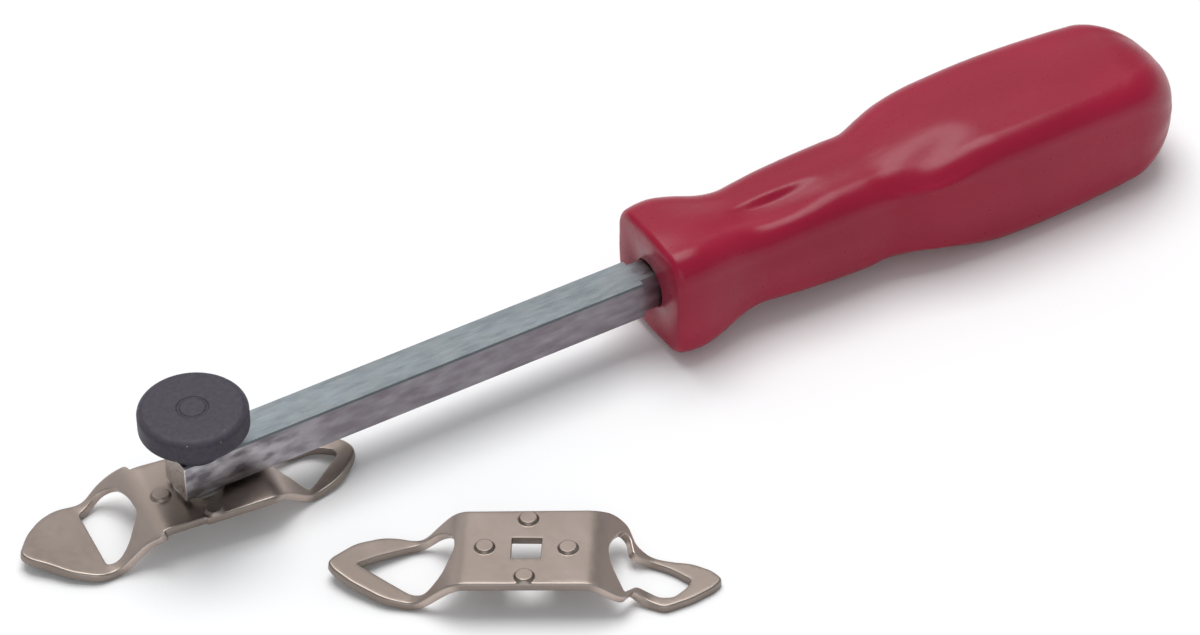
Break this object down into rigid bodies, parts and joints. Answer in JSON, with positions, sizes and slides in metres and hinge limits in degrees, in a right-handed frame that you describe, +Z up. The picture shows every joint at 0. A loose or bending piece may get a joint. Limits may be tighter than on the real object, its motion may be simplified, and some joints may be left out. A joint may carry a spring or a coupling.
{
  "type": "lever can opener",
  "caption": "Long-handled lever opener: square steel shank in a moulded handle, a double-ended opener plate clamped under its front end by a knob, and a spare plate beside it.",
  "frame": {"origin": "on the table, under the middle of the whole part", "axes": "+X from the opener end to the handle, +Z up"},
  "size_m": [0.2998, 0.101, 0.0332],
  "materials": {
    "handle_plastic": "semi-gloss moulded, faintly translucent",
    "zinc_plated_steel": "zinc plated, bluish, faintly mottled",
    "knob_plastic": "fine matt texture",
    "insert_brass": "turned",
    "bolt_steel": "bright plated",
    "nickel_plated_sheet": "satin nickel plated, warm"
  },
  "bodies": {
    "root": {"handle": "handle_plastic", "shank": "zinc_plated_steel"},
    "knob": {"knob": "knob_plastic", "knob_insert": "insert_brass"},
    "spacer": {"spacer_washer": "bolt_steel"},
    "head": {"opener_plate": "nickel_plated_sheet", "clamp_bolt": "bolt_steel"},
    "spare": {"spare_plate": "nickel_plated_sheet"}
  },
  "joints": [
    {"name": "knob_turn", "type": "hinge", "parent": "root", "child": "knob", "pos_m": [-0.10773, 0.03263, 0.02098], "axis": [0, 0, 1], "range_deg": [0, 1080]},
    {"name": "head_lower", "type": "slide", "parent": "root", "child": "spacer", "axis": [0, 0, -1], "range_m": [0, 0.003]},
    {"name": "head_swivel", "type": "hinge", "parent": "spacer", "child": "head", "pos_m": [-0.10773, 0.03263, 0.00988], "axis": [0, 0, 1], "range_deg": [-45, 95]},
    {"name": "spare_lift", "type": "slide", "parent": "root", "child": "spare", "axis": [0, 0, 1], "range_m": [0, 0.1]}
  ],
  "couplings": [
    {"joint": "knob_turn", "follows": "head_lower", "rad_per_m": 6283.1}
  ]
}
